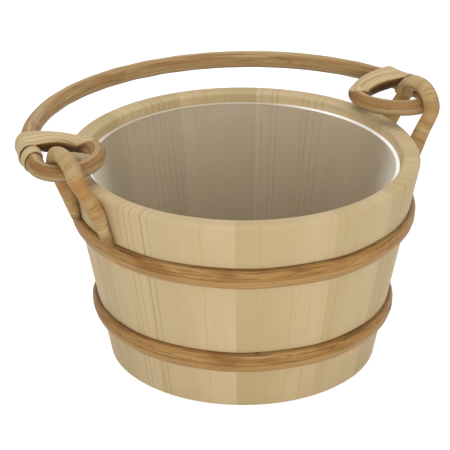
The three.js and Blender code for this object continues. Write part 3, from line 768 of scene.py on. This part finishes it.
def ear_rings(seed, turn, lean, swelling):
    """Rings of an ear. Its bight is thicker in front, and moved outwards so that the eye stays clear."""
    centres, places = ear_path(turn, lean)
    height = centres[:, 2]
    front = swelling * smooth(places[-1] / 2 - places, *EAR_FRONT_EASE)
    swollen = front * smooth(height - BAIL_HEIGHT, *EAR_SWELL_EASE)
    shifted = EAR_SHIFT * front * smooth(height - BAIL_HEIGHT, *EAR_SHIFT_EASE)
    centres = centres + about_axis((1, 0, 0), turn) * shifted[:, None]
    bight = smooth(height, EAR_KINK_HEIGHT, BAIL_HEIGHT)
    level_out = unit(centres * (1, 1, 0))
    wall_out = level_out * math.cos(WALL_TILT) - (0, 0, math.sin(WALL_TILT))
    lean_out = about_axis(unit(np.array([1, 0, -lean])), turn)
    outward = lerp(wall_out, lean_out, bight[:, None])
    leg_half = lerp(EAR_FOOT_HALF, EAR_KINK_HALF, leg_share(height))
    along = tangents(centres)
    lump = 1 + EAR_LUMP * waver(seed, EAR_LUMP_LENGTH)(places)
    rings, angles = rod_rings(
        centres,
        np.cross(outward, along),
        lerp(leg_depth(height), EAR_BIGHT_DEPTH, bight) * lump + swollen,
        lerp(leg_half, EAR_OUTER_HALF, bight) * lump + swollen / 2,
        lerp(leg_half, EAR_INNER_HALF, bight),
        np.full(len(height), ROUND),
        EAR_SIDES,
    )
    for end in (0, -1):
        rings[end] += along[end] * ((centres[end, 2] - rings[end][:, 2]) / along[end, 2])[:, None]
    length = places - places[-1] / 2
    fibres = np.broadcast_arrays(length[:, None], angles * EAR_AROUND, height[:, None])
    return rings, np.stack(fibres, axis=-1)


EAR_HONEY = srgb(176, 144, 94)
EAR_PALE = srgb(195, 166, 117)
EAR_ORANGE = srgb(172, 122, 62)
EAR_BROWN = srgb(118, 80, 42)
EAR_STEPS = (211, 0, 0)
EAR_KNEE = 20
EAR_KNEE_WRINKLES = [12, 14.6, 17.2, 19]
KNEE_UNEVEN = 7
WRINKLE_HALF = 0.75
WRINKLE_CORE = 0.15
INSIDE_LINE_HALF = 0.9
INSIDE_LINE_CORE = 0.25


def ear_rattan(name, seed, tanned):
    """Peeled rattan: uneven bands and wrinkles across the rod, and a dark line inside the bight."""
    material, shader, place = new_finish(name, "fibre")
    own = place.moved(seed, EAR_STEPS)
    around = place.part("Y")
    height = place.part("Z")
    leg = height.ramp(BAIL_HEIGHT + 4, BAIL_HEIGHT - 8)
    broad = own.noise((0.075, 0.025, 0.0), 2.0, 0.5, 0.8)
    bands = own.noise((0.3, 0.03, 0.0), 3.0, 0.6, 0.6)
    fibres = own.noise((0.03, 0.8, 0.0), 2.0, 0.6)
    colour = broad.ramp(0.36, 0.64).between(EAR_HONEY, EAR_PALE)
    colour = (bands.ramp(0.5, 0.66) * leg * (0.35 + tanned * 0.6)).between(colour, EAR_ORANGE)
    patches = own.noise((0.05, 0.04, 0.0), 2.0, 0.5, 0.8).ramp(0.54, 0.68)
    colour = (patches * (0.2 + tanned * 0.8)).between(colour, EAR_ORANGE)
    across_lines = own.noise((0.85, 0.05, 0.0), 2.0, 0.6, 0.4).ramp(0.5, 0.66) * leg
    colour = (across_lines * 0.3).between(colour, EAR_BROWN)
    wrinkles = own.noise((0.55, 0.04, 0.0), 2.0, 0.55, 0.5).ramp(0.62, 0.68) * leg
    colour = (wrinkles * 0.6).between(colour, EAR_BROWN)
    uneven = (own.noise((0.0, 0.09, 0.0), 2.0) - 0.5) * KNEE_UNEVEN
    reach = abs(place.part("X")) + uneven
    below_knee = reach.ramp(EAR_KNEE - 1.5, EAR_KNEE + 2) * reach.ramp(EAR_KNEE + 27, EAR_KNEE + 8)
    colour = (below_knee * (tanned + bands * 0.45)).between(colour, EAR_ORANGE)
    kept = own.noise((0.3, 0.12, 0.0), 1.0).ramp(0.42, 0.52)
    for wrinkle in EAR_KNEE_WRINKLES:
        crease = abs(reach - wrinkle).ramp(WRINKLE_HALF, WRINKLE_CORE) * kept
        colour = (crease * 0.35).between(colour, EAR_BROWN)
    off_line = abs(abs(around - EAR_INSIDE) - EAR_INSIDE_HALF)
    inside = off_line.ramp(INSIDE_LINE_HALF, INSIDE_LINE_CORE) * height.ramp(BAIL_HEIGHT, BAIL_HEIGHT + 5)
    colour = (inside * 0.75).between(colour, EAR_BROWN)
    foot = height.ramp(EAR_FOOT_HEIGHT + 9, EAR_FOOT_HEIGHT + 2) * (0.35 + 0.5 * bands) * (0.5 + tanned)
    colour = foot.between(colour, EAR_BROWN)
    finish(shader, colour, 0.42 + fibres * 0.16, broad * 0.4 + fibres * 0.3 - wrinkles * 0.5, 0.25)
    shader.inputs["Specular IOR Level"].default_value = RATTAN_GLOSS
    return material


# Side, mirroring, turn about the axis in degrees, lean, swelling of the front bight, browning.
EARS = [("left", -1, 4, 0.47, 1.1, 0.5), ("right", 1, 0.3, 0.57, 0.7, 0.1)]
for seed, (side, flip, turn, lean, swelling, tanned) in enumerate(EARS, 1):
    rings, fibres = ear_rings(seed, math.radians(turn), lean, swelling)
    rattan = ear_rattan(f"{side}_ear_rattan", seed, tanned)
    ear = skin(f"rattan_{side}_ear", rings * (flip, 1, 1), fibres, rattan)
    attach(ear, "bucket")
    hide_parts(f"{side}_ear")

# Nails and screws
# Zinc plated steel. Two nails go through each hoop's scarf joint into a stave. The ears' screws
# are driven from inside the staves, sunk below the surface and hidden by the liner.
ZINC_DULL = srgb(150, 150, 147)
ZINC_BRIGHT = srgb(196, 196, 192)
material, shader, place = new_finish("zinc_plate")
shine = place.noise((1.2, 1.2, 1.2), 3.0, 0.6)
colour = shine.ramp(0.3, 0.7).between(ZINC_DULL, ZINC_BRIGHT)
finish(shader, colour, 0.3 + shine * 0.2, shine, 0.03)
shader.inputs["Metallic"].default_value = 1.0
for node_name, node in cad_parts.items():
    if node_name.endswith(("_screw", "_nail_1", "_nail_2")):
        refinish(node, material)

# Liner
# A loose tub of translucent grey plastic, moulded in one piece with a round bottom edge and a
# thicker lip. It stands on the base just inside the staves.
LINER_FLOOR = CROZE_UPPER
LINER_WALL = 2
LINER_GAP = 0.5
LINER_CORNER = 6
LIP_TOP = 149.8
LIP_HEIGHT = 3.5
LIP_WIDTH = 3
LIP_EASE = 0.75
LIP_STEPS = 5
LIP_STRAIGHT = 1.6
WALL_STEPS = 10
LINER_STEPS = 192
LINER_SHARP = math.radians(50)
LINER_DIM = srgb(246, 238, 222)
LINER_BRIGHT = srgb(252, 245, 230)
LIP_FRONT = srgb(208, 194, 166)
LIP_PAINTED_HIGHLIGHT = srgb(255, 255, 254)
LIP_HIGHLIGHT_EASE = (62, 104)
LIP_EDGE = (-1.3, -0.5)
DENSE_WALL = (2, 7)
LINER_ALPHA = 0.2
DENSE_ALPHA = 0.76
LIP_PAINTED_GLOW = 0.3
BLACK = (0, 0, 0, 1)
WHITE = (1, 1, 1, 1)


def liner_outer(height):
    return bore_radius(height) - LINER_GAP


def liner_profile():
    corner_height = LINER_FLOOR + LINER_CORNER
    corner_radius = liner_outer(corner_height) - LINER_CORNER
    wall_bottom = corner_height + 1
    lip_bottom = LIP_TOP - LIP_HEIGHT
    lip_outside = liner_outer(LIP_TOP)
    lip_inside = lip_outside - LIP_WIDTH
    outside = [
        (0, LINER_FLOOR),
        (corner_radius / 2, LINER_FLOOR),
        *arc(corner_radius, corner_height, LINER_CORNER, -90),
        *[(liner_outer(h), h) for h in np.linspace(wall_bottom, LIP_TOP - LIP_EASE - 0.5, WALL_STEPS)],
        *arc(lip_outside - LIP_EASE, LIP_TOP - LIP_EASE, LIP_EASE, 0, steps=LIP_STEPS),
    ]
    wall_inside = np.linspace(lip_bottom - LIP_EASE, wall_bottom, WALL_STEPS)
    inside = [
        *arc(lip_inside + LIP_EASE, LIP_TOP - LIP_EASE, LIP_EASE, 90, steps=LIP_STEPS),
        (lip_inside, LIP_TOP - LIP_STRAIGHT),
        (liner_outer(lip_bottom) - LIP_WIDTH, lip_bottom),
        *[(liner_outer(h) - LINER_WALL, h) for h in wall_inside],
        *arc(corner_radius, corner_height, LINER_CORNER - LINER_WALL, 0, -90),
        (corner_radius / 2, LINER_FLOOR + LINER_WALL),
        (0, LINER_FLOOR + LINER_WALL),
    ]
    return np.array(outside + inside)


profile = liner_profile()
turns = np.arange(LINER_STEPS) * 2 * math.pi / LINER_STEPS
points = np.array([[(r * math.cos(t), r * math.sin(t), h) for r, h in profile] for t in turns])
count = len(profile)
faces = []
for step in range(LINER_STEPS):
    near, far = step * count, (step + 1) % LINER_STEPS * count
    faces += [(near + i, near + i + 1, far + i + 1, far + i) for i in range(count - 1)]
mesh = bpy.data.meshes.new("plastic_liner")
mesh.from_pydata(in_frame(points.reshape(-1, 3)).tolist(), [], faces)
faces_out(mesh, welded=True)
mesh.shade_smooth()
mesh.set_sharp_from_angle(angle=LINER_SHARP)
liner = new_piece("plastic_liner", mesh)

# The thin wall lets most light through, less where it is seen along its surface. The lip's left
# and right sides are a painted highlight: whiter in colour, with more coat and a faint painted glow.
material, shader, place = new_finish("liner_plastic")
height = place.part("Z") + BASE_LIFT
lip = (height - LIP_TOP).ramp(*LIP_EDGE)
wall = (height - LINER_FLOOR).ramp(*DENSE_WALL)
# The lip's left and right sides, where the painted highlight lies.
side = abs(place.part("X")).ramp(*LIP_HIGHLIGHT_EASE)
cloud = place.noise((0.02, 0.02, 0.012), 2.0)
inward = place.vector("MULTIPLY", Vector_001=(-1, -1, 0)).vector("NORMALIZE")
facing = inward.node("ShaderNodeLayerWeight", {}, {"Blend": 0.5, "Normal": inward}, "Facing")
glancing = facing.ramp(0.55, 0.92) * wall
body = cloud.ramp(0.3, 0.7).between(LINER_DIM, LINER_BRIGHT)
# The lip's colour turns to a painted highlight towards its left and right sides.
colour = lip.between(body, side.between(LIP_FRONT, LIP_PAINTED_HIGHLIGHT))
finish(shader, colour, 0.14 + cloud * 0.08, cloud, 0.1)
alpha = LINER_ALPHA + (lip | glancing) * DENSE_ALPHA
# Coat on the lip's sides, which also sets where the painted glow shines.
coat = lip * side
painted_glow = coat.between(BLACK, WHITE)
connect(shader, {"Alpha": alpha, "Coat Weight": coat, "Emission Color": painted_glow})
shader.inputs["Coat Roughness"].default_value = 0.05
shader.inputs["Emission Strength"].default_value = LIP_PAINTED_GLOW
shader.inputs["IOR"].default_value = 1.49
shader.inputs["Sheen Weight"].default_value = 0.3
shader.inputs["Sheen Roughness"].default_value = 0.35
mesh.materials.append(material)
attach(liner, "liner")
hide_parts("liner")

# Bail
# One long rod of brown rattan. Its bow folds back over the rim, each end is bent into an eye that
# hangs in an ear, and the peeled, flattened tail crosses the rod and is wound round it.
BOW_REACH = 151.7
ROD_RADIUS = 6.4
EYE_ROD_RADIUS = 5.9
EYE_LONG_HALF = 27.8
EYE_SHORT_HALF = 21.3
EYE_TURN = math.radians(-44)
EYE_MIDDLE_X = 133.6
EYE_FORWARD = 8
BAIL_SHIFT = 1.5
TAIL_TURN = math.radians(-184)
FLATTENING_TURN = math.radians(-140)
TAIL_FLATNESS = 0.25
PEELING_TURN = math.radians(-152)
TAIL_PEELED = 0.36
RIBBON_WIDTH = 25.5
RIBBON_END_WIDTH = 9.5
RIBBON_THICKNESS = 2.2
RIBBON_END_THICKNESS = 1.4
RIBBON_GAP = 0.15
RIBBON_TAPER = (0, 0.9)
UNDERSIDE_LAG = 20
TAIL_BELLY = 3
BELLY_BEGINS = (0, 0.3)
BELLY_ENDS = (0.03, 0.16)
EYE_THINNING = (0, 0.25)
WIND_START = 44
WIND_GAP = 0.3
WIND_PITCH = (RIBBON_WIDTH + RIBBON_END_WIDTH) / 2 + WIND_GAP
WIND_TURNS = 1.42
CROSSING_EASE = 14.7
FLAT = 4.0
BAIL_LUMP = 0.02
BAIL_LUMP_LENGTH = 70
BAIL_LUMP_SEED = 41
BOW_STATIONS = 130
EYE_STATIONS = 120
CROSSING_STATIONS = 50
WIND_STATIONS = 110
ROD_SIDES = 64

eye_long = np.array([math.cos(EYE_TURN), math.sin(EYE_TURN), 0])
eye_short = np.array([-eye_long[1], eye_long[0], 0])
eye_half = np.hypot(EYE_LONG_HALF * eye_long, EYE_SHORT_HALF * eye_short)
eye_middle = np.array([EYE_MIDDLE_X, eye_half[1] - EYE_FORWARD, BAIL_HEIGHT])
bow_half_width = eye_middle[0] + eye_half[0]
z_up = np.array([0.0, 0.0, 1.0])


def eye_point(turn):
    turn = np.atleast_1d(turn)[:, None]
    sideways = eye_short * EYE_SHORT_HALF * np.sin(turn)
    return eye_middle + eye_long * EYE_LONG_HALF * np.cos(turn) + sideways


def bow_point(forward):
    forward = np.atleast_1d(forward)
    x = bow_half_width * np.sqrt(1 - (forward / BOW_REACH) ** 2)
    return np.column_stack([x, forward, np.full(len(forward), float(BAIL_HEIGHT))])


def flattened(part):
    """Half sizes across, up and down, and squareness, between the eye's rod, 0, and the ribbon, 1."""
    side = lerp(EYE_ROD_RADIUS, RIBBON_WIDTH / 2, part)
    up = lerp(EYE_ROD_RADIUS, RIBBON_THICKNESS / 2, part)
    down = lerp(EYE_ROD_RADIUS, RIBBON_THICKNESS / 2, part**UNDERSIDE_LAG)
    return side, up, down, lerp(ROUND, FLAT, part)


def wind_radius(half):
    return ROD_RADIUS + RIBBON_GAP + half


def ribbon_half(turns):
    return lerp(RIBBON_WIDTH, RIBBON_END_WIDTH, smooth(turns, *RIBBON_TAPER)) / 2


def bail_half():
    """Stations of the right half, from the middle of the bow to the tip of the tail."""
    join = math.atan2(EYE_SHORT_HALF * eye_short[0], EYE_LONG_HALF * eye_long[0])
    join_angle = math.asin(eye_point(join)[0, 1] / BOW_REACH)
    bow_turn = np.linspace(math.pi / 2, join_angle, BOW_STATIONS, endpoint=False)
    bow = bow_point(BOW_REACH * np.sin(bow_turn))
    bow_radius = np.full(len(bow), ROD_RADIUS)

    turn = np.linspace(join, TAIL_TURN, EYE_STATIONS, endpoint=False)
    eye = eye_point(turn)
    share = (turn - join) / (TAIL_TURN - join)
    begun = smooth(-turn, -FLATTENING_TURN, -TAIL_TURN)
    *eye_halves, eye_square = flattened(TAIL_FLATNESS * begun**2)
    thinned = lerp(ROD_RADIUS, EYE_ROD_RADIUS, smooth(share, *EYE_THINNING))
    eye_side, eye_out, eye_inner = [np.where(begun > 0, half, thinned) for half in eye_halves]

    begin = eye_point(TAIL_TURN)[0]
    end = bow_point(WIND_START)[0] + z_up * wind_radius(RIBBON_THICKNESS / 2)
    leaving = unit(eye_point(TAIL_TURN - math.pi / 2)[0] - eye_middle)
    begin_ease = begin + leaving * CROSSING_EASE + z_up * RIBBON_THICKNESS
    end_ease = end - np.array([CROSSING_EASE, 0, 0])
    along = np.linspace(0, 1, CROSSING_STATIONS, endpoint=False)
    t = along[:, None]
    crossing = (1 - t) ** 3 * begin + 3 * (1 - t) ** 2 * t * begin_ease
    crossing += 3 * (1 - t) * t**2 * end_ease + t**3 * end
    flatness = lerp(TAIL_FLATNESS, 1, smooth(along, 0, 1))
    cross_side, cross_out, cross_inner, cross_square = flattened(flatness)
    belly = TAIL_BELLY * smooth(along, *BELLY_BEGINS) * smooth(1 - along, *BELLY_ENDS)

    turns = np.linspace(0, WIND_TURNS, WIND_STATIONS)
    wind_side = ribbon_half(turns)
    beside = WIND_PITCH * (turns - 1) + ribbon_half(turns - 1) + wind_side + WIND_GAP
    core = bow_point(WIND_START - np.where(turns < 1, WIND_PITCH * turns, beside))
    outward = unit(core * (1 / bow_half_width**2, 1 / BOW_REACH**2, 0))
    angle = 2 * math.pi * turns[:, None]
    radial = z_up * np.cos(angle) + outward * np.sin(angle)
    wind_half = lerp(RIBBON_THICKNESS, RIBBON_END_THICKNESS, turns / WIND_TURNS) / 2
    wound = core + radial * wind_radius(wind_half)[:, None]

    centres = np.vstack([bow, eye, crossing, wound])
    normals = np.vstack([np.tile(z_up, (len(bow) + len(eye) + len(crossing), 1)), radial])
    side = np.concatenate([bow_radius, eye_side, cross_side, wind_side])
    out = np.concatenate([bow_radius, eye_out, cross_out, wind_half])
    inner = np.concatenate([bow_radius, eye_inner, cross_inner + belly, wind_half])
    square = [np.full(len(bow), ROUND), eye_square, cross_square, np.full(len(wound), FLAT)]
    eye_peeled = TAIL_PEELED * np.clip((PEELING_TURN - turn) / (PEELING_TURN - TAIL_TURN), 0, 1)
    cross_peeled = np.full(len(along), TAIL_PEELED)
    peeled = np.concatenate([np.zeros(len(bow)), eye_peeled, cross_peeled, np.ones(len(wound))])
    return centres, normals, side, out, inner, np.concatenate(square), peeled


def bail_rings():
    """Rings of the whole rod and its fibres, whose last value is above 0.5 where the skin is planed off."""
    mirror = np.array([-1, 1, 1])
    joined = []
    for values in bail_half():
        left = values[:0:-1]
        joined.append(np.concatenate([left * mirror if values.ndim == 2 else left, values]))
    centres, normals, side, out, inner, square, peeled = joined
    places = lengths_along(centres)
    lump = 1 + BAIL_LUMP * (1 - peeled) * waver(BAIL_LUMP_SEED, BAIL_LUMP_LENGTH)(places)
    rings, angles = rod_rings(centres, normals, side * lump, out * lump, inner * lump, square, ROD_SIDES)
    flat = np.cos(angles) * side[:, None]
    around = np.where(peeled[:, None] >= TAIL_PEELED, flat, angles * ROD_RADIUS)
    bare = (np.sin(angles) - 1 + 2.2 * peeled[:, None]) * 2 + 0.5
    fibres = np.broadcast_arrays(places[:, None], around, bare)
    return rings + (BAIL_SHIFT, 0, 0), np.stack(fibres, axis=-1)


BAIL_SEED = 5
PEELED_PALE = srgb(222, 199, 154)
PEELED_MID = srgb(186, 157, 110)
RATTAN_TAN = srgb(178, 143, 92)
RATTAN_GREY = srgb(192, 166, 123)


def bail_rattan(name, seed, middle, eye_begins, tail_begins):
    """Brown rattan, warmer on top and at the eyes, with painted shade on its underside and under the tail,
    and pale where the tail is planed.
    """
    material, shader, place = new_finish(name, "fibre")
    own, colour, streaks, _, relief = rattan_colour(place, seed, RATTAN_TAN, RATTAN_GREY)
    grain = own.noise((0.01, 0.7, 0.0), 3.0, 0.6)
    peeled = grain.ramp(0.35, 0.65).between(PEELED_MID, PEELED_PALE)
    level = place.part("Z")
    upper = level.ramp(-1.3, -0.6) * own.noise((0.012, 0.15, 0.0), 2.0).ramp(0.35, 0.6)
    colour = (upper * 0.5).between(colour, RATTAN_WARM)
    reach = abs(place.part("X") - middle)
    eye = reach.ramp(eye_begins - 12, eye_begins + 12)
    colour = (eye * level.ramp(-1.4, -0.7) * 0.45).between(colour, RATTAN_WARM)
    side = level.ramp(-1.2, -1.8) * level.ramp(-2.9, -2.4)
    colour = (side * 0.35).between(colour, RATTAN_GREY)
    # Painted shade: the rod's underside is coloured dark.
    colour = (level.ramp(-2.5, -3.1) * 0.7).between(colour, RATTAN_DARK)
    # Painted shade under the tail, where it crosses over the rod.
    painted_shade_under_tail = reach.ramp(tail_begins - 15, tail_begins) * level.ramp(0.35, -0.1)
    colour = (painted_shade_under_tail * 0.9).between(colour, RATTAN_SPECK_AND_SHADE)
    bare = level.ramp(0.3, 0.7)
    colour = bare.between(colour, peeled)
    finish(shader, colour, 0.4 + streaks * 0.18 + bare * 0.08, relief, 0.18)
    shader.inputs["Specular IOR Level"].default_value = RATTAN_GLOSS
    return material


rings, fibres = bail_rings()
middle = len(rings) // 2
lengths = fibres[:, 0, 0]
eye_start = middle + BOW_STATIONS
to_eye, to_tail = lengths[[eye_start, eye_start + EYE_STATIONS]] - lengths[middle]
rattan = bail_rattan("bail_rattan", BAIL_SEED, float(lengths[middle]), float(to_eye), float(to_tail))
bail = skin("rattan_bail", rings, fibres, rattan)
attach(bail, "bail")
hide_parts("bail")

# Studio
# A plain white floor that keeps the bucket's shadow, white surroundings, two large soft lamps and
# the camera at the photograph's angle. The sizes here are in metres.
FLOOR_HALF = 12
FLOOR_DROP = 0.0001
FLOOR_GREY = (0.85, 0.85, 0.85, 1)
FLOOR_WHITE = 1.7
FLOOR_SHARE = 0.5
SKY_LIGHT = 0.6
LAMP_AIM = Vector((0, 0, 0.09))
CAMERA_PLACE = (-0.6842, -1.3845, 0.8152)
CAMERA_LOOK = Vector((0.39397, 0.81483, -0.42524))
CAMERA_LENS = 184.14
SENSOR_WIDTH = 36


def straight_rays(wire):
    """1 on rays from the camera, off gloss or through glass, and 0 on those that only light."""
    kinds = ("Camera", "Glossy", "Transmission")
    seen, glossy, through_glass = [
        wire.node("ShaderNodeLightPath", {}, {}, f"Is {kind} Ray") for kind in kinds
    ]
    return seen | glossy | through_glass


mesh = bpy.data.meshes.new("studio_floor")
corners = [(-1, -1), (1, -1), (1, 1), (-1, 1)]
level = -BASE_LIFT * MM - FLOOR_DROP
mesh.from_pydata([(x * FLOOR_HALF, y * FLOOR_HALF, level) for x, y in corners], [], [(0, 1, 2, 3)])
floor = new_piece("studio_floor", mesh)
material, shader, place = new_finish("studio_white")
shader.inputs["Base Color"].default_value = FLOOR_GREY
shader.inputs["Roughness"].default_value = 0.9
shader.inputs["Specular IOR Level"].default_value = 0.1
white = place.node("ShaderNodeEmission", {}, {"Color": WHITE, "Strength": FLOOR_WHITE})
plain = straight_rays(place) * FLOOR_SHARE
shaders = {"Fac": plain, "Shader": Wire(shader.outputs[0]), "Shader_001": white}
lit = place.node("ShaderNodeMixShader", {}, shaders)
connect(material.node_tree.nodes["Material Output"], {"Surface": lit})
mesh.materials.append(material)

scene = bpy.context.scene
world = bpy.data.worlds.new("studio_surroundings")
scene.world = world
world.use_nodes = True
sky = world.node_tree.nodes["Background"]
sky.inputs["Color"].default_value = WHITE
connect(sky, {"Strength": straight_rays(Wire(sky.outputs[0])) * (1 - SKY_LIGHT) + SKY_LIGHT})


def softbox(name, azimuth, elevation, distance, size, power):
    """A square lamp that faces the bucket, at an angle round it and above the floor."""
    lamp = bpy.data.lights.new(name, "AREA")
    lamp.shape = "SQUARE"
    lamp.size = size
    lamp.energy = power
    light = new_piece(name, lamp)
    a, e = math.radians(azimuth), math.radians(elevation)
    towards = Vector((math.cos(e) * math.cos(a), math.cos(e) * math.sin(a), math.sin(e)))
    light.location = LAMP_AIM + distance * towards
    light.rotation_euler = (-towards).to_track_quat("-Z", "Y").to_euler()


softbox("front_softbox", azimuth=-113, elevation=12, distance=1.7, size=1.1, power=10)
softbox("top_softbox", azimuth=64, elevation=78, distance=1.6, size=1.2, power=7)

lens = bpy.data.cameras.new("photo_camera")
lens.lens = CAMERA_LENS
lens.sensor_width = SENSOR_WIDTH
camera = new_piece("photo_camera", lens)
camera.location = CAMERA_PLACE
camera.rotation_euler = CAMERA_LOOK.to_track_quat("-Z", "Y").to_euler()
scene.camera = camera
scene.view_settings.view_transform = "Standard"

bpy.context.view_layer.update()
